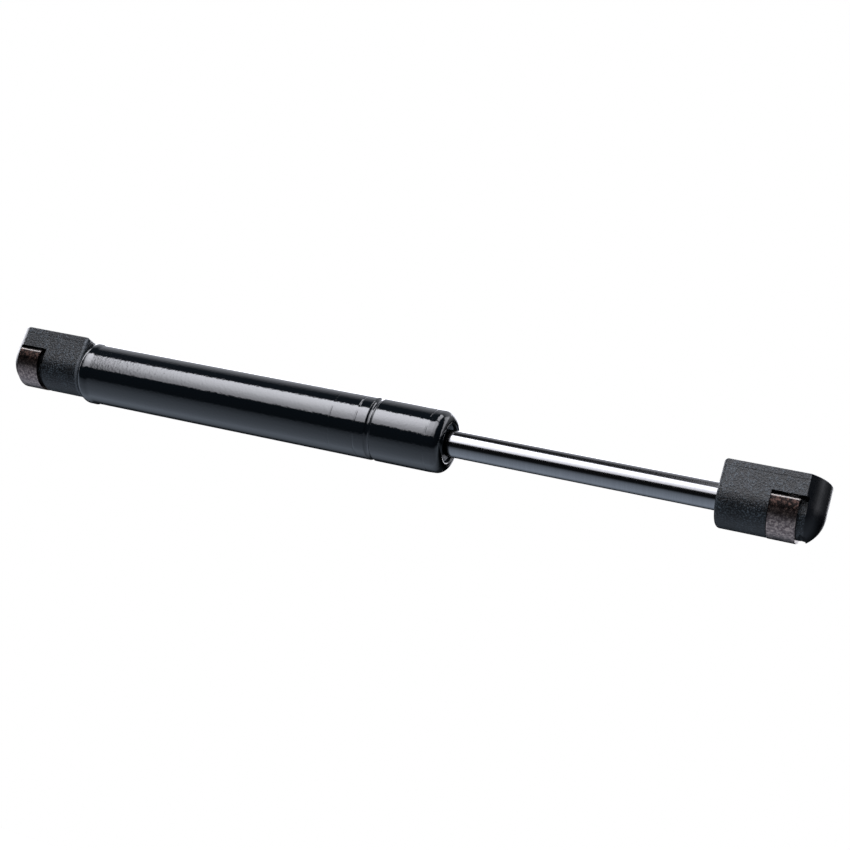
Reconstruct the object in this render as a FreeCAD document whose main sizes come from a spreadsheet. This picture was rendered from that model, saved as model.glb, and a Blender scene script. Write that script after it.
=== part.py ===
import FreeCAD, Part
import math
import os
import Sketcher

# Gas strut stay, 8 mm rod in a 19 mm tube, with a snap-on ball socket at each end.
#
# Frame: the strut lies along X at full extension, which is how gas pressure leaves it.
# The origin is the ball centre of the tube-end socket, +X runs to the rod end, and both
# sockets open towards +Z.

# The driving sizes, in millimetres.
SIZES = [
    # pressure tube
    ("tube_od", 19.0, "outer diameter of the pressure tube"),
    ("tube_wall", 1.5, "wall of the pressure tube"),
    ("tube_length", 126.0, "closed end face to rim"),
    ("closed_hole_dia", 11.0, "hole left in the rolled closed end"),
    ("shoulder_round", 2.0, "outer rounding of the closed end"),
    ("inner_corner", 0.5, "inner rounding of the closed end"),
    ("swell", 0.3, "radial swelling of the closed end"),
    ("swell_length", 3.6, "length of the swollen band"),
    ("swell_taper", 1.0, "length over which the swelling dies out"),
    ("rim_round", 3.0, "outer radius of the rolled rim"),
    ("rim_hole_dia", 11.6, "hole left in the rolled rim"),
    ("rim_swage_length", 4.8, "length drawn in slightly ahead of the rim"),
    ("rim_swage", 0.1, "how far that length is drawn in"),
    ("bead_from_rim", 23.0, "crimp bead centre, back from the rim"),
    ("bead_tool_radius", 1.2, "radius of the wheel that rolls the bead"),
    ("bead_depth", 0.5, "depth of the bead"),
    ("bead_edge_round", 0.4, "rounding of the bead's two edges"),
    ("rim_edge_round", 0.6, "rounding of the rim's inner edge"),
    # rod and stroke
    ("rod_dia", 8.0, "piston rod diameter"),
    ("rod_exposed", 80.6, "bare rod between rim and socket at full extension"),
    ("stroke", 75.0, "travel from extended to compressed"),
    ("thread_engagement", 11.0, "length of the M8 thread in each socket"),
    ("thread_chamfer", 0.8, "chamfer on the thread ends"),
    ("spigot_dia", 5.0, "turned-down end of the rod that carries the piston"),
    ("rivet_head_dia", 7.4, "head formed on the spigot"),
    ("rivet_head_length", 1.4, "length of that head"),
    # guide and seal pack, listed from the rim inwards
    ("guide_length", 8.0, "guide bush"),
    ("guide_corner_most", 2.0, "most of the chamfer that clears the rolled rim"),
    ("guide_seat", 0.15, "least reach of the guide's outer face under the rim"),
    ("guide_dish_depth", 1.4, "depth of the dished outer face"),
    ("guide_rib", 0.5, "flat left around the rod at the bottom of the dish"),
    ("liner_wall", 0.9, "wall of the guide liner"),
    ("liner_length", 6.0, "length of the guide liner"),
    ("guide_ring_width", 2.2, "groove for the guide's O-ring"),
    ("guide_ring_depth", 1.4, "depth of that groove"),
    ("guide_ring_setback", 2.0, "groove to the guide's inner face"),
    ("seal_length", 4.5, "rod seal"),
    ("seal_lip", 1.0, "thickness of the seal's lips"),
    ("seal_heel", 2.0, "solid back of the seal"),
    ("seal_washer_thick", 1.5, "washer behind the seal"),
    ("spacer_wall", 1.2, "wall of the spacer sleeve"),
    # piston pack, listed from the rod shoulder inwards
    ("stop_washer_gap", 0.2, "radial, to the tube's bore, washer that stops on the bead"),
    ("stop_washer_thick", 1.2, "its thickness"),
    ("flow_disc_gap", 1.2, "radial, to the bore, spring disc over the piston's ports"),
    ("flow_disc_thick", 0.4, "its thickness"),
    ("piston_gap", 0.4, "radial, to the bore, piston"),
    ("piston_length", 5.0, "piston"),
    ("piston_port_gap", 3.2, "radial, from the bore to the circle of the ports"),
    ("piston_port_dia", 1.6, "port"),
    ("ring_groove_width", 2.2, "groove for the piston ring"),
    ("ring_groove_depth", 1.3, "depth of that groove"),
    ("orifice_disc_gap", 1.0, "radial, to the bore, metering disc behind the piston"),
    ("orifice_disc_thick", 1.0, "its thickness"),
    ("orifice_dia", 0.8, "metering hole"),
    ("back_washer_dia", 11.0, "washer under the rivet head"),
    ("back_washer_thick", 1.0, "its thickness"),
    # end plug
    ("plug_length", 9.0, "plug inside the tube"),
    ("plug_chamfer", 0.8, "chamfer that clears the closed end's corner"),
    ("plug_ring_width", 2.6, "groove for the plug's O-ring"),
    ("plug_ring_depth", 1.8, "depth of that groove"),
    ("plug_ring_setback", 3.0, "groove to the plug's inner face"),
    # ball sockets
    ("ball_dia", 10.0, "ball of the stud that snaps in"),
    ("socket_reach", 19.2, "thread face to ball centre"),
    ("socket_width", 16.9, "across the flat sides"),
    ("socket_nose", 9.2, "ball centre to the tip of the nose"),
    ("socket_nose_radius", 9.7, "radius of the nose"),
    ("socket_face_height", 8.65, "strut axis to the face that the ball enters"),
    ("socket_thread_depth", 12.0, "depth of the threaded hole"),
    ("socket_thread_lead", 0.6, "lead-in chamfer of that hole"),
    ("socket_end_round", 1.2, "rounding of the thread end"),
    ("socket_face_round", 0.35, "rounding of the face that the ball enters"),
    ("mouth_flare_depth", 2.2, "depth of the flared mouth"),
    ("mouth_flare", 1.4, "how far the mouth widens"),
    ("side_line_drop", 1.75, "moulded line below the face"),
    ("side_line_width", 0.2, "its width"),
    ("side_line_depth", 0.12, "its depth"),
    ("side_line_inset", 0.4, "how far it stops short of the nose"),
    ("recess_width", 10.0, "recess that the clip lies in"),
    ("recess_depth", 0.95, "its depth"),
    ("recess_top", 2.3, "its upper edge, above the strut axis"),
    ("window_inner", 9.2, "across the inner ends of the clip windows"),
    ("pry_notch_from_ball", 3.9, "deepest line of the pry notch, towards the nose"),
    ("pry_notch_depth", 0.7, "depth of that line below the recess floor"),
    ("pry_notch_rise", 2.2, "length over which the notch rises towards the nose"),
    ("pry_notch_width", 8.0, "width of the notch across the underside"),
    # retaining clips
    ("clip_width", 7.6, "width of the clip's band"),
    ("clip_thick", 1.0, "spring steel thickness"),
    ("clip_bend", 1.5, "outer radius of the bend into the window"),
    ("clip_top", 1.8, "top of the bent-in ends, above the strut axis"),
    ("clip_gape", 9.8, "between the bent-in ends"),
    ("clip_lift", 3.0, "travel that frees the ball"),
    ("tube_clip_shift", -0.65, "where the tube-end clip lies in its recess"),
    ("rod_clip_shift", 1.0, "where the rod-end clip lies in its recess"),
    # clearances
    ("ball_clearance", 0.1, "radial, ball to seat"),
    ("thread_clearance", 0.02, "radial, thread to socket"),
    ("running_clearance", 0.04, "radial, between pieces that slide on each other"),
    ("ring_side_clearance", 0.1, "axial, piston ring in its groove"),
    ("seat_clearance", 0.05, "radial, pieces that drop into the tube"),
    ("stop_clearance", 0.05, "axial, stop washer to bead"),
    ("clip_clearance", 0.05, "radial, clip to recess"),
    ("window_clearance", 0.2, "below the clip's ends when it is fully lifted"),
    # worked out from the sizes above
    ("tube_r", "=tube_od / 2", "outer radius of the tube"),
    ("bore_r", "=tube_od / 2 - tube_wall", "inner radius of the tube"),
    ("rod_r", "=rod_dia / 2", "radius of the rod"),
    ("stop_washer_dia", "=2 * (bore_r - stop_washer_gap)", "stop washer"),
    ("flow_disc_dia", "=2 * (bore_r - flow_disc_gap)", "flow disc"),
    ("piston_dia", "=2 * (bore_r - piston_gap)", "piston"),
    ("piston_port_circle", "=2 * (bore_r - piston_port_gap)", "circle of the ports"),
    ("ring_groove_dia", "=piston_dia - 2 * ring_groove_depth", "floor of the ring groove"),
    ("orifice_disc_dia", "=2 * (bore_r - orifice_disc_gap)", "orifice disc"),
    ("rim_x", "=socket_reach + tube_length", "rim"),
    ("bead_x", "=rim_x - bead_from_rim", "centre of the bead"),
    ("bead_axis_r", "=tube_r + bead_tool_radius - bead_depth", "radius of the bead's centre"),
    ("bead_inner_radius", "=bead_tool_radius + tube_wall", "section radius inside the tube"),
    ("rod_face_x", "=rim_x + rod_exposed", "thread face of the rod-end socket"),
    ("ball_spacing", "=rod_face_x + socket_reach", "ball centre to ball centre, extended"),
    ("guide_outer_x", "=rim_x - tube_wall", "outer face of the guide bush"),
    ("guide_inner_x", "=guide_outer_x - guide_length", "inner face of the guide bush"),
    ("seal_inner_x", "=guide_inner_x - seal_length", "inner face of the seal"),
    ("washer_inner_x", "=seal_inner_x - seal_washer_thick", "inner face of the seal washer"),
    ("drop_in_r", "=bore_r - seat_clearance", "outer radius of what drops into the tube"),
    ("guide_corner", "=min(guide_corner_most; drop_in_r - rim_hole_dia / 2 - guide_seat)",
     "chamfer of the guide bush"),
    ("spacer_inner_x", "=bead_x + sqrt(bead_inner_radius^2 - (bead_axis_r - drop_in_r)^2)",
     "where the spacer rests on the bead"),
    ("rod_shoulder_x",
     "=bead_x - sqrt(bead_inner_radius^2 - (bead_axis_r - stop_washer_dia / 2)^2)"
     " - stop_clearance", "front of the stop washer, at the rod's shoulder"),
    ("flow_disc_x", "=rod_shoulder_x - stop_washer_thick", "front of the flow disc"),
    ("piston_x", "=flow_disc_x - flow_disc_thick", "front of the piston"),
    ("orifice_disc_x", "=piston_x - piston_length", "front of the orifice disc"),
    ("back_washer_x", "=orifice_disc_x - orifice_disc_thick", "front of the back washer"),
    ("rivet_x", "=back_washer_x - back_washer_thick", "front of the rivet head"),
    ("ring_x", "=piston_x - piston_length / 2", "middle of the piston ring"),
    ("plug_outer_x", "=socket_reach + tube_wall", "plug's seat on the closed end"),
    ("plug_inner_x", "=plug_outer_x + plug_length", "inner face of the plug"),
    ("socket_half", "=socket_width / 2", "half the width of a socket"),
    ("nose_centre", "=socket_nose_radius - socket_nose", "centre of the nose radius"),
    ("nose_break", "=sqrt(socket_nose_radius^2 - socket_half^2) - nose_centre",
     "where the flat sides end"),
    ("seat_r", "=ball_dia / 2 + ball_clearance", "radius of the ball seat"),
    ("recess_r", "=socket_half - recess_depth", "floor of the clip recess"),
    ("clip_inner_r", "=recess_r + clip_clearance", "inside of the clip"),
    ("clip_outer_r", "=clip_inner_r + clip_thick", "outside of the clip"),
    ("clip_knee", "=clip_top - clip_bend", "height at which the clip starts to bend in"),
    ("window_bottom", "=clip_top - clip_thick - clip_lift - window_clearance",
     "lower edge of the clip windows"),
]

H_AXIS = -1
V_AXIS = -2
ORIGIN = (-1, 1)

doc = FreeCAD.newDocument("gas_strut_stay")
sheet = doc.addObject("Spreadsheet::Sheet", "Sizes")
for row, (alias, content, meaning) in enumerate(SIZES, start=1):
    sheet.set("A%d" % row, alias)
    sheet.set("B%d" % row, str(content))
    sheet.set("C%d" % row, meaning)
    sheet.setAlias("B%d" % row, alias)
doc.recompute()

ALIASES = sorted((entry[0] for entry in SIZES), key=len, reverse=True)


def bound(formula):
    """The formula with each alias written as a reference to the sheet."""
    words = []
    word = ""
    for letter in formula + " ":
        if letter.isalnum() or letter == "_":
            word += letter
            continue
        words.append("Sizes." + word if word in ALIASES else word)
        words.append(letter)
        word = ""
    return "".join(words).strip()


def value(formula):
    """The number that a formula of aliases comes to."""
    return float(sheet.evalExpression(bound(formula)))


def new_body(label):
    """A body whose label is the name of its node."""
    body = doc.addObject("PartDesign::Body", label)
    body.Label = label
    return body


def new_sketch(body, name, plane, offset="0"):
    """A sketch on one of the body's own origin planes, moved along its normal."""
    sketch = body.newObject("Sketcher::SketchObject", name)
    for feature in body.Origin.OriginFeatures:
        if feature.Role == plane:
            sketch.AttachmentSupport = [(feature, "")]
    sketch.MapMode = "FlatFace"
    sketch.setExpression("AttachmentOffset.Base.z", bound(offset))
    return sketch


def dimension(sketch, kind, arguments, formula):
    """A dimensional constraint bound to the sheet."""
    index = sketch.addConstraint(Sketcher.Constraint(kind, *arguments, value(formula)))
    sketch.setExpression("Constraints[%d]" % index, bound(formula))


def hold(sketch, geometry, point, across, up):
    """Fixes a point at the two formulas; None leaves a direction free."""
    for kind, axis, formula in (("DistanceX", V_AXIS, across), ("DistanceY", H_AXIS, up)):
        if formula is None:
            continue
        if abs(value(formula)) < 1e-9:
            sketch.addConstraint(Sketcher.Constraint("PointOnObject", geometry, point, axis))
        else:
            dimension(sketch, kind, (*ORIGIN, geometry, point), formula)


def outline(sketch, start, steps):
    """A closed outline in a sketch.

    A step is a line's end (across, up), or an arc's end, centre and sense:
    (across, up, centre across, centre up, +1 for counter-clockwise or -1).
    The last step comes back to the start.
    """
    first = len(sketch.Geometry)
    count = len(steps)
    here = start
    for step in steps:
        begin = FreeCAD.Vector(value(here[0]), value(here[1]), 0)
        end = FreeCAD.Vector(value(step[0]), value(step[1]), 0)
        if len(step) == 2:
            sketch.addGeometry(Part.LineSegment(begin, end))
        else:
            centre = FreeCAD.Vector(value(step[2]), value(step[3]), 0)
            circle = Part.Circle(centre, FreeCAD.Vector(0, 0, 1), (begin - centre).Length)
            tail, tip = (begin, end) if step[4] > 0 else (end, begin)
            turns = [math.atan2(p.y - centre.y, p.x - centre.x) for p in (tail, tip)]
            if turns[1] <= turns[0]:
                turns[1] += 2 * math.pi
            sketch.addGeometry(Part.ArcOfCircle(circle, *turns))
        here = step
    for number, step in enumerate(steps):
        geometry = first + number
        following = first + (number + 1) % count
        next_step = steps[(number + 1) % count]
        end_point = 1 if len(step) == 5 and step[4] < 0 else 2
        start_point = 2 if len(next_step) == 5 and next_step[4] < 0 else 1
        sketch.addConstraint(
            Sketcher.Constraint("Coincident", geometry, end_point, following, start_point))
        if len(step) == 2:
            hold(sketch, geometry, end_point, step[0], step[1])
            continue
        hold(sketch, geometry, 3, step[2], step[3])
        # The arc's centre and start settle its radius, so its end needs one direction only.
        away_across = abs(value(step[0]) - value(step[2]))
        away_up = abs(value(step[1]) - value(step[3]))
        if away_across < away_up:
            hold(sketch, geometry, end_point, step[0], None)
        else:
            hold(sketch, geometry, end_point, None, step[1])


def box_outline(sketch, left, right, low, high):
    """A rectangle between two formulas across and two up."""
    outline(sketch, (left, low), [(right, low), (right, high), (left, high), (left, low)])


def circle_outline(sketch, across, up, radius):
    """A full circle."""
    centre = FreeCAD.Vector(value(across), value(up), 0)
    geometry = sketch.addGeometry(
        Part.Circle(centre, FreeCAD.Vector(0, 0, 1), value(radius)))
    dimension(sketch, "Radius", (geometry,), radius)
    hold(sketch, geometry, 3, across, up)


def turned(body, kind, name, start, steps, plane="XZ_Plane", axis="H_Axis", angle=360.0):
    """A revolution or groove of an outline about one of its sketch's axes."""
    sketch = new_sketch(body, name + "_profile", plane)
    outline(sketch, start, steps)
    feature = body.newObject("PartDesign::" + kind, name)
    feature.Profile = sketch
    feature.ReferenceAxis = (sketch, [axis])
    feature.Angle = angle
    return feature


def extruded(body, kind, name, sketch, length, midplane=False, reverse=False):
    """A pad or pocket of a sketch."""
    feature = body.newObject("PartDesign::" + kind, name)
    feature.Profile = sketch
    feature.SideType = "Symmetric" if midplane else "One side"
    feature.Reversed = reverse
    feature.setExpression("Length", bound(length))
    return feature


def round_edges(body, name, radius, chosen):
    """A fillet on those edges of the body that the test chooses."""
    doc.recompute()
    base = body.Tip
    edges = [
        "Edge%d" % (number + 1)
        for number, edge in enumerate(base.Shape.Edges)
        if chosen(edge)
    ]
    if not edges:
        raise RuntimeError("no edge to round in " + name)
    fillet = body.newObject("PartDesign::Fillet", name)
    fillet.Base = (base, edges)
    fillet.setExpression("Radius", bound(radius))
    return fillet


def disc(label, front, thickness, outer_r, inner_r):
    """A flat washer about the strut axis, running back from its front face."""
    body = new_body(label)
    sketch = new_sketch(body, label + "_rings", "YZ_Plane", front + " - (" + thickness + ")")
    circle_outline(sketch, "0", "0", outer_r)
    circle_outline(sketch, "0", "0", inner_r)
    extruded(body, "Pad", label + "_blank", sketch, thickness)
    return body


def o_ring(label, middle, width, inner_r, outer_r):
    """A rubber ring squeezed flat between two diameters."""
    body = new_body(label)
    half = "((" + outer_r + ") - (" + inner_r + ")) / 2"
    left = middle + " - (" + width + ") / 2 + " + half
    right = middle + " + (" + width + ") / 2 - " + half
    centre = "((" + outer_r + ") + (" + inner_r + ")) / 2"
    turned(body, "Revolution", label + "_section", (left, outer_r), [
        (left, inner_r, left, centre, 1),
        (right, inner_r),
        (right, outer_r, right, centre, 1),
        (left, outer_r),
    ])
    return body


def pressure_tube():
    """The painted steel tube: rolled closed end, crimp bead and rolled rim."""
    body = new_body("pressure_tube")
    swollen = "tube_r + swell"
    reach = "(bead_tool_radius + bead_edge_round)"
    share = "bead_tool_radius / " + reach
    bead_low = "bead_axis_r - (bead_axis_r - tube_r + bead_edge_round) * " + share
    bead_half = "sqrt(" + reach + "^2 - (bead_axis_r - tube_r + bead_edge_round)^2)"
    bead_floor_half = bead_half + " * " + share
    bead_inner_half = "sqrt(bead_inner_radius^2 - (bead_axis_r - bore_r)^2)"
    roll_x = "rim_x - rim_round"
    roll_r = "tube_r - rim_swage - rim_round"
    lip_x = "rim_x - rim_edge_round"
    lip_r = "rim_hole_dia / 2 + rim_edge_round"
    turned(body, "Revolution", "tube_wall_section", ("socket_reach", "closed_hole_dia / 2"), [
        ("socket_reach", swollen + " - shoulder_round"),
        ("socket_reach + shoulder_round", swollen,
         "socket_reach + shoulder_round", swollen + " - shoulder_round", -1),
        ("socket_reach + swell_length", swollen),
        ("socket_reach + swell_length + swell_taper", "tube_r"),
        ("bead_x - " + bead_half, "tube_r"),
        ("bead_x - " + bead_floor_half, bead_low,
         "bead_x - " + bead_half, "tube_r - bead_edge_round", -1),
        ("bead_x + " + bead_floor_half, bead_low, "bead_x", "bead_axis_r", 1),
        ("bead_x + " + bead_half, "tube_r",
         "bead_x + " + bead_half, "tube_r - bead_edge_round", -1),
        ("rim_x - rim_swage_length", "tube_r"),
        (roll_x, "tube_r - rim_swage"),
        ("rim_x", roll_r, roll_x, roll_r, -1),
        ("rim_x", lip_r),
        (lip_x, "rim_hole_dia / 2", lip_x, lip_r, -1),
        ("guide_outer_x", "rim_hole_dia / 2"),
        ("guide_outer_x", roll_r),
        (roll_x, roll_r + " + rim_round - tube_wall", roll_x, roll_r, 1),
        ("rim_x - rim_swage_length", "bore_r"),
        ("bead_x + " + bead_inner_half, "bore_r"),
        ("bead_x - " + bead_inner_half, "bore_r", "bead_x", "bead_axis_r", -1),
        ("plug_outer_x + inner_corner", "bore_r"),
        ("plug_outer_x", "bore_r - inner_corner",
         "plug_outer_x + inner_corner", "bore_r - inner_corner", 1),
        ("plug_outer_x", "closed_hole_dia / 2"),
        ("socket_reach", "closed_hole_dia / 2"),
    ])
    return body


def end_plug():
    """The steel plug that closes the tube, with the M8 stud for the socket."""
    body = new_body("end_plug")
    stud_x = "socket_reach - thread_engagement"
    groove_right = "plug_inner_x - plug_ring_setback"
    groove_left = groove_right + " - plug_ring_width"
    floor = "drop_in_r - plug_ring_depth"
    turned(body, "Revolution", "plug_section", (stud_x, "0"), [
        (stud_x, "rod_r - thread_chamfer"),
        (stud_x + " + thread_chamfer", "rod_r"),
        ("socket_reach", "rod_r"),
        ("socket_reach", "closed_hole_dia / 2 - seat_clearance"),
        ("plug_outer_x", "closed_hole_dia / 2 - seat_clearance"),
        ("plug_outer_x", "drop_in_r - plug_chamfer"),
        ("plug_outer_x + plug_chamfer", "drop_in_r"),
        (groove_left, "drop_in_r"),
        (groove_left, floor),
        (groove_right, floor),
        (groove_right, "drop_in_r"),
        ("plug_inner_x", "drop_in_r"),
        ("plug_inner_x", "0"),
        (stud_x, "0"),
    ])
    return body


def guide_bush():
    """The bush at the rim that carries the rod's liner, with a dished outer face."""
    body = new_body("guide_bush")
    liner_r = "rod_r + running_clearance + liner_wall"
    shelf_x = "guide_outer_x - guide_dish_depth"
    liner_x = "guide_inner_x + liner_length"
    groove_left = "guide_inner_x + guide_ring_setback"
    groove_right = groove_left + " + guide_ring_width"
    floor = "drop_in_r - guide_ring_depth"
    turned(body, "Revolution", "guide_section", ("guide_inner_x", liner_r), [
        ("guide_inner_x", "drop_in_r"),
        (groove_left, "drop_in_r"),
        (groove_left, floor),
        (groove_right, floor),
        (groove_right, "drop_in_r"),
        ("guide_outer_x - guide_corner", "drop_in_r"),
        ("guide_outer_x", "drop_in_r - guide_corner"),
        ("guide_outer_x", "rim_hole_dia / 2 - seat_clearance"),
        (shelf_x, "rod_r + running_clearance * 2 + guide_rib"),
        (shelf_x, "rod_r + running_clearance * 2"),
        (liner_x, "rod_r + running_clearance * 2"),
        (liner_x, liner_r),
        ("guide_inner_x", liner_r),
    ])
    return body


def guide_liner():
    """The thin low-friction liner that the rod runs in."""
    return disc(
        "guide_liner", "guide_inner_x + liner_length", "liner_length",
        "rod_r + running_clearance + liner_wall", "rod_r + running_clearance")


def rod_seal():
    """The lip seal: a solid heel against the guide and two lips facing the gas."""
    body = new_body("rod_seal")
    heel_x = "guide_inner_x - seal_heel"
    inner = "rod_r + running_clearance"
    turned(body, "Revolution", "seal_section", ("guide_inner_x", inner), [
        ("guide_inner_x", "drop_in_r"),
        ("seal_inner_x", "drop_in_r"),
        ("seal_inner_x", "drop_in_r - seal_lip"),
        (heel_x, "drop_in_r - seal_lip"),
        (heel_x, inner + " + seal_lip"),
        ("seal_inner_x", inner + " + seal_lip"),
        ("seal_inner_x", inner),
        ("guide_inner_x", inner),
    ])
    return body


def piston_rod():
    """The plated rod: M8 end, shoulder, spigot through the piston pack and rivet head."""
    body = new_body("piston_rod")
    thread_x = "rod_face_x + thread_engagement"
    head_x = "rivet_x - rivet_head_length"
    turned(body, "Revolution", "rod_section", (head_x, "0"), [
        (head_x, "rivet_head_dia / 2"),
        ("rivet_x", "rivet_head_dia / 2"),
        ("rivet_x", "spigot_dia / 2"),
        ("rod_shoulder_x", "spigot_dia / 2"),
        ("rod_shoulder_x", "rod_r"),
        (thread_x + " - thread_chamfer", "rod_r"),
        (thread_x, "rod_r - thread_chamfer"),
        (thread_x, "0"),
        (head_x, "0"),
    ])
    return body


def piston():
    """The piston: ring groove outside, flow ports through it."""
    body = new_body("piston")
    groove_left = "ring_x - ring_groove_width / 2"
    groove_right = "ring_x + ring_groove_width / 2"
    turned(body, "Revolution", "piston_section", ("orifice_disc_x", "spigot_dia / 2"), [
        ("orifice_disc_x", "piston_dia / 2"),
        (groove_left, "piston_dia / 2"),
        (groove_left, "ring_groove_dia / 2"),
        (groove_right, "ring_groove_dia / 2"),
        (groove_right, "piston_dia / 2"),
        ("piston_x", "piston_dia / 2"),
        ("piston_x", "spigot_dia / 2"),
        ("orifice_disc_x", "spigot_dia / 2"),
    ])
    sketch = new_sketch(body, "port_circle", "YZ_Plane", "piston_x")
    circle_outline(sketch, "0", "piston_port_circle / 2", "piston_port_dia / 2")
    port = extruded(body, "Pocket", "port", sketch, "piston_length")
    ports = body.newObject("PartDesign::PolarPattern", "ports")
    ports.Originals = [port]
    ports.Axis = (sketch, ["N_Axis"])
    ports.Angle = 360.0
    ports.Occurrences = 4
    body.Tip = ports
    return body


def piston_ring():
    """The split-free sealing ring that slides along the tube's bore."""
    return disc(
        "piston_ring", "ring_x + ring_groove_width / 2 - ring_side_clearance",
        "ring_groove_width - 2 * ring_side_clearance",
        "bore_r - running_clearance", "ring_groove_dia / 2 + running_clearance")


def orifice_disc():
    """The disc behind the piston whose one small hole meters the gas."""
    body = disc(
        "orifice_disc", "orifice_disc_x", "orifice_disc_thick",
        "orifice_disc_dia / 2", "spigot_dia / 2")
    sketch = new_sketch(body, "orifice_circle", "YZ_Plane", "orifice_disc_x")
    circle_outline(sketch, "0", "piston_port_circle / 2", "orifice_dia / 2")
    extruded(body, "Pocket", "orifice", sketch, "orifice_disc_thick")
    return body


def socket_plan(sketch, full_width):
    """A socket seen from above: square thread end, round nose about the ball centre."""
    low = "-socket_half" if full_width else "0"
    nose_end = ("-nose_break", low) if full_width else ("-socket_nose", "0")
    steps = [
        ("socket_reach", "socket_half"),
        ("-nose_break", "socket_half"),
        (*nose_end, "nose_centre", "0", 1),
        ("socket_reach", low),
    ]
    if not full_width:
        steps[-1] = ("socket_reach", "0")
    outline(sketch, ("socket_reach", low), steps)


def ball_socket(label):
    """A moulded ball socket, ball centre at its origin and thread face towards +X."""
    body = new_body(label)

    plan = new_sketch(body, label + "_plan", "XY_Plane")
    socket_plan(plan, full_width=True)
    extruded(body, "Pad", label + "_upper", plan, "socket_face_height")

    half_plan = new_sketch(body, label + "_half_plan", "XY_Plane")
    socket_plan(half_plan, full_width=False)
    lower = body.newObject("PartDesign::Revolution", label + "_lower")
    lower.Profile = half_plan
    lower.ReferenceAxis = (half_plan, ["H_Axis"])
    lower.Angle = 180.0
    lower.Reversed = True

    turned(body, "Groove", label + "_seat", ("0", "-seat_r"), [
        ("seat_r", "0", "0", "0", 1),
        ("seat_r", "socket_face_height - mouth_flare_depth"),
        ("seat_r + mouth_flare", "socket_face_height"),
        ("0", "socket_face_height"),
        ("0", "-seat_r"),
    ], axis="V_Axis")

    thread_end = "socket_reach - socket_thread_depth"
    thread_r = "rod_r + thread_clearance"
    turned(body, "Groove", label + "_thread", (thread_end, "0"), [
        ("socket_reach", "0"),
        ("socket_reach", thread_r + " + socket_thread_lead"),
        ("socket_reach - socket_thread_lead", thread_r),
        (thread_end, thread_r),
        (thread_end, "0"),
    ])

    outside = "socket_width"
    recess = new_sketch(body, label + "_recess_section", "YZ_Plane")
    outline(recess, (outside, "recess_top"), [
        ("recess_r", "recess_top"),
        ("recess_r", "0"),
        ("-recess_r", "0", "0", "0", -1),
        ("-recess_r", "recess_top"),
        ("-" + outside, "recess_top"),
        ("-" + outside, "-" + outside),
        (outside, "-" + outside),
        (outside, "recess_top"),
    ])
    extruded(body, "Pocket", label + "_recess", recess, "recess_width", midplane=True)

    windows = new_sketch(body, label + "_window_plan", "XY_Plane", "recess_top")
    line = new_sketch(body, label + "_line_plan", "XY_Plane",
                      "socket_face_height - side_line_drop")
    for side in ("", "-"):
        box_outline(windows, "-recess_width / 2", "recess_width / 2",
                    side + "window_inner / 2", side + outside)
        box_outline(line, "side_line_inset - nose_break", "socket_reach - side_line_drop",
                    side + "(socket_half - side_line_depth)", side + outside)
    extruded(body, "Pocket", label + "_windows", windows, "recess_top - window_bottom")
    extruded(body, "Pocket", label + "_side_lines", line, "side_line_width")

    notch = new_sketch(body, label + "_notch_section", "XZ_Plane")
    deepest = "-pry_notch_from_ball"
    outline(notch, (deepest, "pry_notch_depth - recess_r"), [
        (deepest + " + pry_notch_depth", "-recess_r"),
        (deepest + " + pry_notch_depth", "-" + outside),
        (deepest + " - pry_notch_rise", "-" + outside),
        (deepest + " - pry_notch_rise", "-recess_r"),
        (deepest, "pry_notch_depth - recess_r"),
    ])
    extruded(body, "Pocket", label + "_pry_notch", notch, "pry_notch_width", midplane=True)

    thread_face = value("socket_reach")
    face_height = value("socket_face_height")
    mouth = value("seat_r + mouth_flare")
    lead_in = value(thread_r + " + socket_thread_lead")

    def on_thread_face(edge):
        box = edge.BoundBox
        flat = box.XLength < 1e-3 and abs(box.XMax - thread_face) < 1e-3
        return flat and box.DiagonalLength > 2 * lead_in * math.sqrt(2) + 1e-3

    def on_ball_face(edge):
        box = edge.BoundBox
        flat = box.ZLength < 1e-3 and abs(box.ZMax - face_height) < 1e-3
        return flat and max(abs(box.YMax), abs(box.YMin)) > mouth + 1e-3

    round_edges(body, label + "_thread_end", "socket_end_round", on_thread_face)
    round_edges(body, label + "_ball_face", "socket_face_round", on_ball_face)
    return body


def clip(label, shift):
    """A spring-steel C clip about the ball centre, its ends bent into the windows."""
    body = new_body(label)
    sketch = new_sketch(body, label + "_section", "YZ_Plane", shift)
    tip = "clip_gape / 2"
    bend_y = "clip_outer_r - clip_bend"
    end_low = "clip_top - clip_thick"
    end_mid = "clip_top - clip_thick / 2"
    tip_centre = tip + " + clip_thick / 2"
    steps = [
        ("-clip_outer_r", "0", "0", "0", -1),
        ("-clip_outer_r", "clip_knee"),
        ("-(" + bend_y + ")", "clip_top", "-(" + bend_y + ")", "clip_knee", -1),
        ("-(" + tip_centre + ")", "clip_top"),
        ("-(" + tip_centre + ")", end_low, "-(" + tip_centre + ")", end_mid, -1),
        ("-(" + bend_y + ")", end_low),
        ("-clip_inner_r", "clip_knee", "-(" + bend_y + ")", "clip_knee", 1),
        ("-clip_inner_r", "0"),
        ("clip_inner_r", "0", "0", "0", 1),
        ("clip_inner_r", "clip_knee"),
        (bend_y, end_low, bend_y, "clip_knee", 1),
        (tip_centre, end_low),
        (tip_centre, "clip_top", tip_centre, end_mid, -1),
        (bend_y, "clip_top"),
        ("clip_outer_r", "clip_knee", bend_y, "clip_knee", -1),
        ("clip_outer_r", "0"),
    ]
    outline(sketch, ("clip_outer_r", "0"), steps)
    extruded(body, "Pad", label + "_band", sketch, "clip_width", midplane=True)
    return body


def at_rod_end(body):
    """Turns a piece made for the tube end round to the rod end."""
    body.Placement.Rotation = FreeCAD.Rotation(FreeCAD.Vector(0, 0, 1), 180)
    body.setExpression("Placement.Base.x", bound("ball_spacing"))
    return body


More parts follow.
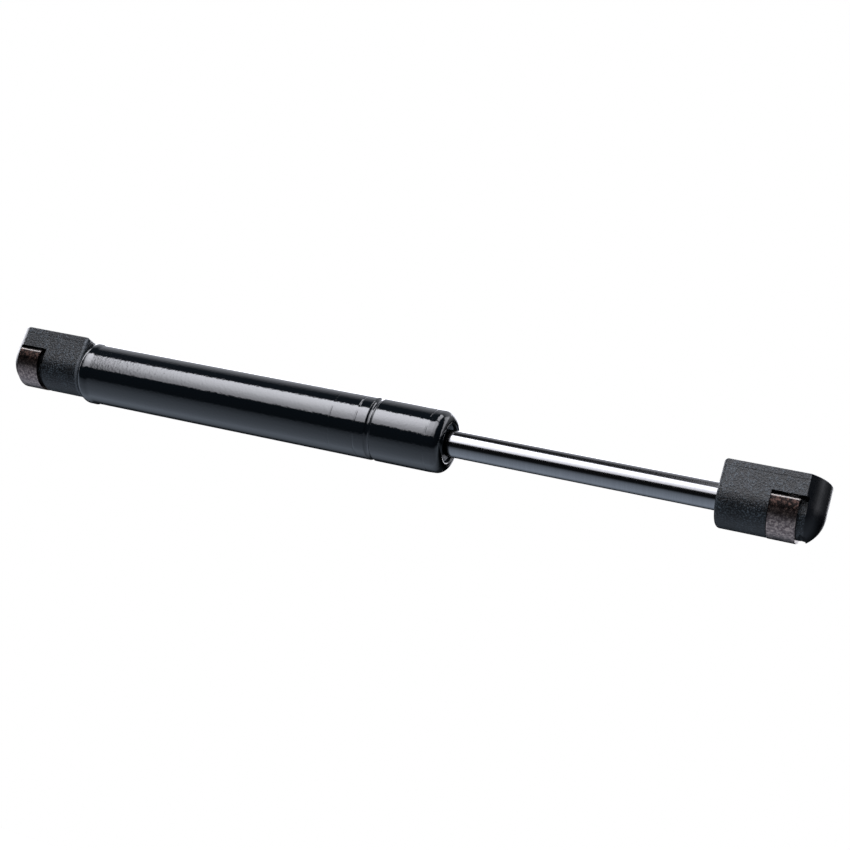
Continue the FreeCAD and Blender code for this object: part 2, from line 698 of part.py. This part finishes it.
parts = [
    pressure_tube(),
    end_plug(),
    o_ring("end_plug_o_ring", "plug_inner_x - plug_ring_setback - plug_ring_width / 2",
           "plug_ring_width", "drop_in_r - plug_ring_depth", "bore_r"),
    ball_socket("tube_end_socket"),
    guide_bush(),
    guide_liner(),
    o_ring("guide_o_ring", "guide_inner_x + guide_ring_setback + guide_ring_width / 2",
           "guide_ring_width", "drop_in_r - guide_ring_depth", "bore_r"),
    rod_seal(),
    disc("seal_washer", "seal_inner_x", "seal_washer_thick", "drop_in_r",
         "rod_r + spacer_wall"),
    disc("spacer_sleeve", "washer_inner_x", "washer_inner_x - spacer_inner_x",
         "drop_in_r", "drop_in_r - spacer_wall"),
    piston_ring(),
    piston_rod(),
    disc("stop_washer", "rod_shoulder_x", "stop_washer_thick", "stop_washer_dia / 2",
         "spigot_dia / 2"),
    disc("flow_disc", "flow_disc_x", "flow_disc_thick", "flow_disc_dia / 2",
         "spigot_dia / 2"),
    piston(),
    orifice_disc(),
    disc("back_washer", "back_washer_x", "back_washer_thick", "back_washer_dia / 2",
         "spigot_dia / 2"),
    at_rod_end(ball_socket("rod_end_socket")),
    clip("tube_end_clip", "tube_clip_shift"),
    at_rod_end(clip("rod_end_clip", "rod_clip_shift")),
]
doc.recompute()

for thing in doc.Objects:
    if "Invalid" in thing.State or "Error" in thing.State:
        raise RuntimeError("%s failed: %s" % (thing.Name, thing.State))
for part in parts:
    if part.Shape.isNull() or not part.Shape.isValid() or len(part.Shape.Solids) != 1:
        raise RuntimeError(part.Label + " is not one valid solid")

os.makedirs("parts", exist_ok=True)
for part in parts:
    part.Shape.exportStep("parts/" + part.Label + ".step")
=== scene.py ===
import math

import bmesh
import bpy
from mathutils import Matrix, Vector


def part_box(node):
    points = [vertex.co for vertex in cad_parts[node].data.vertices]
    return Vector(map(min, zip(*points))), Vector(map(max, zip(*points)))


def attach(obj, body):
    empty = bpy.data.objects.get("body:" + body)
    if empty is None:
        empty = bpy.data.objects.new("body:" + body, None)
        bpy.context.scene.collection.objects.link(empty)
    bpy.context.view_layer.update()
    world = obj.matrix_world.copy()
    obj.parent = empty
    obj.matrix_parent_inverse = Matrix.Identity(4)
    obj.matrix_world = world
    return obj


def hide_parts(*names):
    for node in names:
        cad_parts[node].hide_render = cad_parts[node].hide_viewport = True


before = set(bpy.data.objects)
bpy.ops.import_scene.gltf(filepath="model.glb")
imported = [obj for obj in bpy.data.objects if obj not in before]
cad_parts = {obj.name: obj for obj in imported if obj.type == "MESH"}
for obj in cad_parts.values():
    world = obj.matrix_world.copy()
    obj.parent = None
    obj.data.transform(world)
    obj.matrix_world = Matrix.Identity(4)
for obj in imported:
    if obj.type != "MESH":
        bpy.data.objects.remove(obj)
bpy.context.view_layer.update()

MM = 0.001

# The camera looks up at the strut from in front of its rod end and below it.
LENS_MM = 66.13
SENSOR_WIDTH_MM = 36.0
CAMERA_AT_MM = (311.5, -406.5, -120.1)
CAMERA_AIM = (-0.38221, 0.88381, 0.26980)
CAMERA_ROLL_DEG = 17.66


def add_camera():
    """The camera, aimed along its line of sight and then rolled about it."""
    data = bpy.data.cameras.new("camera")
    data.lens = LENS_MM
    data.sensor_width = SENSOR_WIDTH_MM
    data.clip_start = 0.01
    data.clip_end = 20.0
    camera = bpy.data.objects.new("camera", data)
    bpy.context.scene.collection.objects.link(camera)
    place = Matrix.Translation(Vector(CAMERA_AT_MM) * MM)
    aim = Vector(CAMERA_AIM).to_track_quat("-Z", "Y").to_matrix().to_4x4()
    roll = Matrix.Rotation(math.radians(CAMERA_ROLL_DEG), 4, "Z")
    camera.matrix_world = place @ aim @ roll
    bpy.context.scene.camera = camera


def linear(hex_colour):
    """An sRGB hex colour as linear RGBA."""
    channels = [int(hex_colour[i:i + 2], 16) / 255 for i in (0, 2, 4)]
    return [c / 12.92 if c <= 0.04045 else ((c + 0.055) / 1.055) ** 2.4 for c in channels] + [1.0]


def add(tree, kind, settings=None, **inputs):
    """A node with its settings; inputs are values, or sockets to link from. An input is named,
    with _ for a space, or numbered as _0. A ramp's stops are (position, hex colour or grey)."""
    node = tree.nodes.new(kind)
    for name, setting in (settings or {}).items():
        if name != "stops":
            setattr(node, name, setting)
            continue
        elements = node.color_ramp.elements
        while len(elements) < len(setting):
            elements.new(0.5)
        for element, (position, colour) in zip(elements, setting):
            element.position = position
            element.color = linear(colour) if isinstance(colour, str) else [colour] * 3 + [1.0]
    for name, given in inputs.items():
        numbered = name[0] == "_" and name[1:].isdigit()
        socket = node.inputs[int(name[1:]) if numbered else name.replace("_", " ")]
        if isinstance(given, bpy.types.NodeSocket):
            tree.links.new(given, socket)
        else:
            socket.default_value = given
    return node


def new_material(name):
    """An empty material and its node tree."""
    material = bpy.data.materials.new(name)
    material.use_nodes = True
    material.node_tree.nodes.clear()
    return material, material.node_tree


def surface(tree, **inputs):
    """The material's Principled shader, given its inputs and wired to the output."""
    shader = add(tree, "ShaderNodeBsdfPrincipled", **inputs)
    add(tree, "ShaderNodeOutputMaterial", Surface=shader.outputs[0])


def per_mm(size_mm):
    """The texture scale whose features are about this many millimetres."""
    return 1000.0 / size_mm


def stretched_place(tree, stretch=(1.0, 1.0, 1.0)):
    """Object coordinates; a pattern is drawn out along an axis whose number is below 1."""
    place = add(tree, "ShaderNodeTexCoord").outputs["Object"]
    return add(tree, "ShaderNodeMapping", Vector=place, Scale=stretch).outputs["Vector"]


def how_far(tree, axis, low_mm, high_mm):
    """How far a point lies along an object axis, 0 at the low place and 1 at the high one."""
    place = add(tree, "ShaderNodeTexCoord").outputs["Object"]
    split = add(tree, "ShaderNodeSeparateXYZ", Vector=place)
    return add(tree, "ShaderNodeMapRange", Value=split.outputs[axis],
               From_Min=low_mm * MM, From_Max=high_mm * MM).outputs["Result"]


# Faint rings left in the steel under the paint: two by the rollers that made the crimp bead,
# one by the swage at the rim. Each is (distance back from the rim, what is left of the height).
RIM_RING_SPAN_MM = 40.0
RINGS_MM = ((35.7, 0.5), (27.5, 0.0), (4.8, 0.4))
RING_HALF_WIDTH_MM = 0.28


def gloss_black_paint():
    """Stoved gloss black paint on steel: a deep black skin. Its orange peel, ripples 0.75 mm
    across, frays the edges of what it reflects."""
    material, tree = new_material("gloss_black_paint")
    place = stretched_place(tree)
    peel = add(tree, "ShaderNodeTexNoise", Vector=place, Scale=per_mm(0.75), Detail=1.5)
    peel_bump = add(tree, "ShaderNodeBump", Height=peel.outputs["Fac"], Strength=1.0,
                    Distance=0.025 * MM)
    rim_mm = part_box("pressure_tube")[1].x / MM
    half_width = RING_HALF_WIDTH_MM / RIM_RING_SPAN_MM
    stops = [(0.0, 1.0)]
    for back_mm, height in RINGS_MM:
        middle = 1.0 - back_mm / RIM_RING_SPAN_MM
        stops += [(middle - half_width, 1.0), (middle, height), (middle + half_width, 1.0)]
    rings = add(tree, "ShaderNodeValToRGB", {"stops": stops},
                Fac=how_far(tree, "X", rim_mm - RIM_RING_SPAN_MM, rim_mm))
    # The rings come and go round the girth, where the paint has filled them.
    fill = add(tree, "ShaderNodeTexNoise", Vector=stretched_place(tree, (0.1, 1.0, 1.0)),
               Scale=per_mm(6.0), Detail=1.0)
    filled = add(tree, "ShaderNodeMapRange", Value=fill.outputs["Fac"], From_Min=0.42,
                 From_Max=0.56)
    height = add(tree, "ShaderNodeMath", {"operation": "MAXIMUM"},
                 _0=rings.outputs["Color"], _1=filled.outputs["Result"])
    ring_bump = add(tree, "ShaderNodeBump", Height=height.outputs[0], Strength=1.0,
                    Distance=0.08 * MM, Normal=peel_bump.outputs["Normal"])
    dust = add(tree, "ShaderNodeTexNoise", Vector=place, Scale=per_mm(0.5), Detail=4.0)
    rough = add(tree, "ShaderNodeMapRange", Value=dust.outputs["Fac"], From_Min=0.6,
                From_Max=0.8, To_Min=0.05, To_Max=0.2)
    surface(tree, Base_Color=linear("06090c"), IOR=1.5, Roughness=rough.outputs["Result"],
            Normal=ring_bump.outputs["Normal"])
    return material


def ground_plated_rod():
    """Hard-plated rod, ground before plating: a dark bright metal. Its grinding lines run round
    the girth; real ones are a few micrometres apart, and 0.4 mm is what shows."""
    material, tree = new_material("ground_plated_rod")
    lines = add(tree, "ShaderNodeTexNoise", Vector=stretched_place(tree, (1.0, 0.03, 0.03)),
                Scale=per_mm(0.4), Detail=3.0)
    shade = add(tree, "ShaderNodeValToRGB", {"stops": [(0.3, "6c6c6d"), (0.7, "727273")]},
                Fac=lines.outputs["Fac"])
    bump = add(tree, "ShaderNodeBump", Height=lines.outputs["Fac"], Strength=1.0,
               Distance=0.0006 * MM)
    surface(tree, Base_Color=shade.outputs["Color"], Metallic=1.0, Roughness=0.13,
            Normal=bump.outputs["Normal"])
    return material


def grained_nylon(name, gloss, highlight_edge_mm=None):
    """Glass-filled nylon from a spark-eroded tool: near black, with a fine pale speckle where
    the grain stands up, patches a few millimetres wide where it is darker, and a painted
    highlight: a paler, patchy line where the edge given along X catches the light."""
    material, tree = new_material(name)
    place = stretched_place(tree)
    grain = add(tree, "ShaderNodeTexNoise", Vector=place, Scale=per_mm(0.48), Detail=2.0,
                Roughness=0.6)
    speckle = add(tree, "ShaderNodeValToRGB",
                  {"stops": [(0.38, "040506"), (0.52, "0a0d10"), (0.66, "31383d")]},
                  Fac=grain.outputs["Fac"])
    patches = add(tree, "ShaderNodeTexNoise", Vector=place, Scale=per_mm(5.0), Detail=3.0)
    dark = add(tree, "ShaderNodeValToRGB", {"stops": [(0.36, 0.4), (0.58, 1.0)]},
               Fac=patches.outputs["Fac"])
    colour = add(tree, "ShaderNodeMix", {"data_type": "RGBA", "blend_type": "MULTIPLY"},
                 _0=1.0, _6=speckle.outputs["Color"], _7=dark.outputs["Color"])
    # Painted highlight: a paler, patchy line just inside the edge, where that edge catches the
    # light.
    if highlight_edge_mm is not None:
        paler_band = add(tree, "ShaderNodeValToRGB",
                     {"stops": [(0.62, 0.0), (0.78, 1.0), (0.95, 0.3)]},
                     Fac=how_far(tree, "X", highlight_edge_mm - 4.0, highlight_edge_mm))
        patchy = add(tree, "ShaderNodeMath", {"operation": "MULTIPLY"},
                     _0=paler_band.outputs["Color"], _1=grain.outputs["Fac"])
        colour = add(tree, "ShaderNodeMix", {"data_type": "RGBA"}, _0=patchy.outputs[0],
                     _6=colour.outputs[2], _7=linear("54585c"))
    bump = add(tree, "ShaderNodeBump", Height=grain.outputs["Fac"], Strength=1.0,
               Distance=0.2 * MM)
    surface(tree, Base_Color=colour.outputs[2], Roughness=0.36, IOR=1.45,
            Specular_IOR_Level=gloss, Normal=bump.outputs["Normal"])
    return material


def polished_nylon():
    """The same nylon where the tool was polished: smoother and darker, with a slow ripple."""
    material, tree = new_material("polished_nylon")
    ripple = add(tree, "ShaderNodeTexNoise", Vector=stretched_place(tree), Scale=per_mm(2.0),
                 Detail=3.0)
    rough = add(tree, "ShaderNodeMapRange", Value=ripple.outputs["Fac"], To_Min=0.25,
                To_Max=0.42)
    bump = add(tree, "ShaderNodeBump", Height=ripple.outputs["Fac"], Strength=1.0,
               Distance=0.03 * MM)
    surface(tree, Base_Color=linear("06080b"), IOR=1.45, Specular_IOR_Level=0.2,
            Roughness=rough.outputs["Result"], Normal=bump.outputs["Normal"])
    return material


def tempered_spring_steel():
    """Spring steel strip, hardened and tempered: a brown and blue-black bloom above, worn to
    a pinkish grey below, and on the bend bare metal painted paler as a highlight."""
    material, tree = new_material("tempered_spring_steel")
    bloom = add(tree, "ShaderNodeTexNoise", Vector=stretched_place(tree), Scale=per_mm(0.8),
                Detail=4.0, Roughness=0.7)
    scale = add(tree, "ShaderNodeValToRGB",
                {"stops": [(0.40, "0a0909"), (0.5, "151110"), (0.6, "332723")]},
                Fac=bloom.outputs["Fac"])
    paler_band = add(tree, "ShaderNodeValToRGB",
                 {"stops": [(0.40, "4f4443"), (0.5, "675d5a"), (0.60, "8f8079")]},
                 Fac=bloom.outputs["Fac"])
    height = how_far(tree, "Z", -8.0, 2.0)
    low = add(tree, "ShaderNodeValToRGB", {"stops": [(0.35, 1.0), (0.6, 0.0)]}, Fac=height)
    # Painted highlight: bare metal on the bend, made paler where the lamps reflect off it.
    bend = add(tree, "ShaderNodeValToRGB", {"stops": [(0.87, 0.0), (0.91, 1.0)]}, Fac=height)
    band = add(tree, "ShaderNodeMix", {"data_type": "RGBA"}, _0=low.outputs["Color"],
               _6=scale.outputs["Color"], _7=paler_band.outputs["Color"])
    colour = add(tree, "ShaderNodeMix", {"data_type": "RGBA"}, _0=bend.outputs["Color"],
                 _6=band.outputs[2], _7=linear("95908c"))
    bump = add(tree, "ShaderNodeBump", Height=bloom.outputs["Fac"], Strength=1.0,
               Distance=0.05 * MM)
    surface(tree, Base_Color=colour.outputs[2], Metallic=1.0, Roughness=0.3,
            Normal=bump.outputs["Normal"])
    return material


def inner_finish(name, dark, pale, metallic, roughness, grain_mm, depth_mm,
                 stretch=(1.0, 1.0, 1.0)):
    """A finish for a piece inside the tube: a grain of the given size and depth, paler on its
    high spots and duller in its low ones, drawn out along a direction by its stretch."""
    material, tree = new_material(name)
    grain = add(tree, "ShaderNodeTexNoise", Vector=stretched_place(tree, stretch),
                Scale=per_mm(grain_mm), Detail=3.0)
    colour = add(tree, "ShaderNodeValToRGB", {"stops": [(0.35, dark), (0.65, pale)]},
                 Fac=grain.outputs["Fac"])
    rough = add(tree, "ShaderNodeMapRange", Value=grain.outputs["Fac"], From_Min=0.3,
                From_Max=0.7, To_Min=roughness + 0.1, To_Max=roughness - 0.05)
    bump = add(tree, "ShaderNodeBump", Height=grain.outputs["Fac"], Strength=1.0,
               Distance=depth_mm * MM)
    surface(tree, Base_Color=colour.outputs["Color"], Metallic=metallic,
            Roughness=rough.outputs["Result"], Normal=bump.outputs["Normal"])
    return material


SHARP_EDGE_DEG = 25.0
WELD_MM = 0.0005


def smooth_copy(node, body, material):
    """A welded copy of a CAD piece, smooth over its rounds and crisp at its edges. Wide faces
    count for more than narrow ones, so a long face stays true beside a small round."""
    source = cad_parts[node]
    mesh = source.data.copy()
    mesh.name = node + "_finish"
    if mesh.has_custom_normals:
        mesh.attributes.remove(mesh.attributes["custom_normal"])
    work = bmesh.new()
    work.from_mesh(mesh)
    bmesh.ops.remove_doubles(work, verts=work.verts, dist=WELD_MM * MM)
    work.normal_update()
    crisp = math.cos(math.radians(SHARP_EDGE_DEG))
    normals = []
    for face in work.faces:
        face.smooth = True
        for vert in face.verts:
            total = Vector()
            for near in vert.link_faces:
                if near.normal.dot(face.normal) > crisp:
                    total += near.normal * near.calc_area()
            normals.append(total.normalized() if total.length > 0.0 else face.normal.copy())
    work.to_mesh(mesh)
    work.free()
    mesh.normals_split_custom_set(normals)
    mesh.materials.clear()
    mesh.materials.append(material)
    piece = bpy.data.objects.new(node + "_finish", mesh)
    bpy.context.scene.collection.objects.link(piece)
    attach(piece, body)
    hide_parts(node)
    return piece


NOSE_LENGTH_MM = 4.94


def polish_nose(socket, node, towards_nose, material):
    """Gives the faces past the socket's flat sides the polished finish; towards_nose is the
    nose's direction along X."""
    low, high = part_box(node)
    tip = high.x if towards_nose > 0 else low.x
    start = tip - towards_nose * NOSE_LENGTH_MM * MM
    socket.data.materials.append(material)
    for face in socket.data.polygons:
        if towards_nose * (face.center.x - start) > 0.0:
            face.material_index = 1


def finish_outer_pieces():
    """The pieces that can be seen, each as a smooth copy."""
    smooth_copy("pressure_tube", "cylinder", gloss_black_paint())
    smooth_copy("piston_rod", "rod", ground_plated_rod())
    # The tube-end socket gets less gloss than the rod-end one as painted shade on the same nylon,
    # and a painted highlight along its edge by the tube.
    tube_end_nylon = grained_nylon("tube_end_grained_nylon", 0.2,
                                   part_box("tube_end_socket")[1].x / MM)
    rod_end_nylon = grained_nylon("rod_end_grained_nylon", 0.28)
    nose_nylon = polished_nylon()
    for node, body, nylon, towards_nose in (
            ("tube_end_socket", "cylinder", tube_end_nylon, -1),
            ("rod_end_socket", "rod", rod_end_nylon, 1)):
        socket = smooth_copy(node, body, nylon)
        polish_nose(socket, node, towards_nose, nose_nylon)
    spring_steel = tempered_spring_steel()
    smooth_copy("tube_end_clip", "tube_clip", spring_steel)
    smooth_copy("rod_end_clip", "rod_clip", spring_steel)
    # Acetal, moulded: a dark grey body with the soft sheen of its own slipperiness.
    guide_acetal = inner_finish("guide_acetal", "3e444a", "545a60", 0.0, 0.27, 0.5, 0.008)
    smooth_copy("guide_bush", "cylinder", guide_acetal)


def dress_inner_pieces():
    """The pieces inside the tube, which stay as they are and take a material each."""
    # Free-cutting steel, turned: fine rings about X, so the grain is drawn out round the girth.
    turned_steel = inner_finish("turned_steel", "8f9092", "b4b4b3", 1.0, 0.32, 0.2, 0.004,
                                (1.0, 0.03, 0.03))
    # Nitrile rubber, moulded: a black skin with a faint bloom.
    nitrile_rubber = inner_finish("nitrile_rubber", "0e0e0f", "1b1b1c", 0.0, 0.58, 0.3, 0.01)
    # Nylon tube, extruded: black, with faint die lines along X.
    extruded_nylon = inner_finish("extruded_nylon", "0d0e10", "17181b", 0.0, 0.32, 0.25, 0.006,
                                  (0.03, 1.0, 1.0))
    # Porous bronze with a low-friction layer: brown-gold and finely pitted.
    lined_bronze = inner_finish("lined_bronze", "86623a", "ad8550", 1.0, 0.4, 0.15, 0.01)
    # Sintered iron, pressed from powder: dull grey and open-grained.
    sintered_iron = inner_finish("sintered_iron", "525256", "7d7d80", 1.0, 0.52, 0.18, 0.015)
    # Filled fluoropolymer, machined: a pale buff with fine turning rings.
    filled_polymer = inner_finish("filled_polymer", "a79c83", "c4baa2", 0.0, 0.5, 0.2, 0.006,
                                  (1.0, 0.05, 0.05))
    for material, nodes in (
            (turned_steel, ("end_plug", "stop_washer", "back_washer", "seal_washer",
                            "flow_disc", "orifice_disc")),
            (nitrile_rubber, ("end_plug_o_ring", "guide_o_ring", "rod_seal")),
            (extruded_nylon, ("spacer_sleeve",)),
            (lined_bronze, ("guide_liner",)),
            (sintered_iron, ("piston",)),
            (filled_polymer, ("piston_ring",))):
        for node in nodes:
            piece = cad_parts[node]
            piece.data.materials.clear()
            piece.data.materials.append(material)


FLOOR_Z_MM = -300.0
FLOOR_HALF_WIDTH_M = 3.0


def add_floor():
    """A plain pale floor, well below the strut and out of its reflections."""
    work = bmesh.new()
    bmesh.ops.create_grid(work, x_segments=1, y_segments=1, size=FLOOR_HALF_WIDTH_M)
    bmesh.ops.translate(work, verts=work.verts, vec=(0.0, 0.0, FLOOR_Z_MM * MM))
    mesh = bpy.data.meshes.new("floor")
    work.to_mesh(mesh)
    work.free()
    material, tree = new_material("pale_floor")
    surface(tree, Base_Color=linear("e8e8e8"), Roughness=0.8)
    mesh.materials.append(material)
    floor = bpy.data.objects.new("floor", mesh)
    bpy.context.scene.collection.objects.link(floor)
    floor.visible_glossy = False
    floor.visible_diffuse = False


FRONT_SOFTBOX_STRENGTH = 13.5
BACK_SOFTBOX_STRENGTH = 4.5
END_STRIP_STRENGTH = 6.0
ROD_END_STRIP_STRENGTH = 3.0
SWEEP_STRENGTH = 1.45
# The front softbox hangs this much lower beside the rod than beside the tube.
FRONT_SOFTBOX_DROP_DEG = 4.0


def at(degrees):
    """The place of an angle about X on a ramp: 0 is level in front, 90 overhead."""
    return (degrees + 180.0) / 360.0


def studio_world():
    """A white studio to the camera. The strut is lit by a pale sweep below it and over its
    back, a softbox above the front, another behind, a strip over each end and one past the
    rod end. The room is dark in front, so the paint and the plating keep a dark band."""
    world = bpy.data.worlds.new("studio")
    bpy.context.scene.world = world
    world.use_nodes = True
    tree = world.node_tree
    tree.nodes.clear()
    multiply = {"data_type": "RGBA", "blend_type": "MULTIPLY"}

    # A direction's angle about X is its place on the "turn" ramps, its X on the "side" ones.
    way = add(tree, "ShaderNodeTexCoord").outputs["Generated"]
    split = add(tree, "ShaderNodeSeparateXYZ", Vector=way)
    forward = add(tree, "ShaderNodeMath", {"operation": "MULTIPLY"}, _0=split.outputs["Y"],
                  _1=-1.0)
    angle = add(tree, "ShaderNodeMath", {"operation": "ARCTAN2"}, _0=split.outputs["Z"],
                _1=forward.outputs[0])
    turn = add(tree, "ShaderNodeMapRange", Value=angle.outputs[0], From_Min=-math.pi,
               From_Max=math.pi).outputs["Result"]
    side = add(tree, "ShaderNodeMapRange", Value=split.outputs["X"], From_Min=-1.0,
               From_Max=1.0).outputs["Result"]
    drop = add(tree, "ShaderNodeMapRange", Value=split.outputs["X"], From_Min=-0.36,
               From_Max=-0.33, To_Min=0.0, To_Max=FRONT_SOFTBOX_DROP_DEG / 360.0)
    front_turn = add(tree, "ShaderNodeMath", {"operation": "ADD"}, _0=turn,
                     _1=drop.outputs["Result"]).outputs[0]

    sweep = add(tree, "ShaderNodeValToRGB", {"stops": [
        (at(-180), 0.0), (at(-158), 0.05), (at(-138), 0.5), (at(-120), 0.92), (at(-90), 0.78),
        (at(-67), 0.6), (at(-49), 0.3), (at(-42), 0.02), (at(0), 0.0), (at(84), 0.02),
        (at(100), 0.55), (at(118), 0.85), (at(140), 0.4), (at(160), 0.0)]}, Fac=turn)
    fade = add(tree, "ShaderNodeValToRGB", {"stops": [(0.66, 1.0), (0.82, 0.8)]}, Fac=side)
    faded = add(tree, "ShaderNodeMix", multiply, _0=1.0, _6=sweep.outputs["Color"],
                _7=fade.outputs["Color"])
    tint = add(tree, "ShaderNodeValToRGB", {"stops": [(at(-42), "dbeaff"), (at(80), "f2f5ff")]},
               Fac=turn)
    tinted = add(tree, "ShaderNodeMix", multiply, _0=1.0, _6=faded.outputs[2],
                 _7=tint.outputs["Color"])
    light = add(tree, "ShaderNodeBackground", Color=tinted.outputs[2],
                Strength=SWEEP_STRENGTH).outputs[0]

    # Each lamp is how bright it is about X, times how bright it is along X.
    for place, turn_stops, side_stops, strength in (
            (front_turn,
             [(at(-2), 0.0), (at(0), 0.34), (at(14), 0.54), (at(25), 0.82), (at(40), 1.0),
              (at(53), 1.0), (at(57), 0.0)],
             [(0.02, 0.0), (0.14, 0.05), (0.185, 0.1), (0.205, 0.2), (0.23, 0.8), (0.29, 1.0),
              (0.325, 0.95), (0.34, 0.7), (0.4, 0.68), (0.43, 0.56), (0.6, 0.56), (0.72, 0.0)],
             FRONT_SOFTBOX_STRENGTH),
            (turn,
             [(at(126), 0.0), (at(132), 1.0), (at(160), 1.0), (at(172), 0.0)],
             [(0.0, 1.0), (0.6, 1.0), (0.66, 0.0)],
             BACK_SOFTBOX_STRENGTH),
            (turn,
             [(at(54), 0.0), (at(58), 1.0), (at(86), 1.0), (at(90), 0.0)],
             [(0.185, 1.0), (0.205, 0.0), (0.405, 0.0), (0.425, 1.0), (0.6, 1.0), (0.66, 0.0)],
             END_STRIP_STRENGTH),
            (turn,
             [(at(88), 0.0), (at(96), 1.0), (at(122), 1.0), (at(130), 0.0)],
             [(0.7, 0.0), (0.76, 1.0)],
             ROD_END_STRIP_STRENGTH)):
        around = add(tree, "ShaderNodeValToRGB", {"stops": turn_stops}, Fac=place)
        sideways = add(tree, "ShaderNodeValToRGB", {"stops": side_stops}, Fac=side)
        both = add(tree, "ShaderNodeMix", multiply, _0=1.0, _6=around.outputs["Color"],
                   _7=sideways.outputs["Color"])
        cool = add(tree, "ShaderNodeMix", multiply, _0=1.0, _6=both.outputs[2],
                   _7=linear("f6f7ff"))
        lamp = add(tree, "ShaderNodeBackground", Color=cool.outputs[2], Strength=strength)
        light = add(tree, "ShaderNodeAddShader", _0=light, _1=lamp.outputs[0]).outputs[0]

    white = add(tree, "ShaderNodeBackground", Color=(1.0, 1.0, 1.0, 1.0), Strength=1.0)
    seen = add(tree, "ShaderNodeLightPath").outputs["Is Camera Ray"]
    mix = add(tree, "ShaderNodeMixShader", Fac=seen, _1=light, _2=white.outputs[0])
    add(tree, "ShaderNodeOutputWorld", Surface=mix.outputs[0])
    bpy.context.scene.view_settings.view_transform = "Standard"


add_camera()
finish_outer_pieces()
dress_inner_pieces()
add_floor()
studio_world()
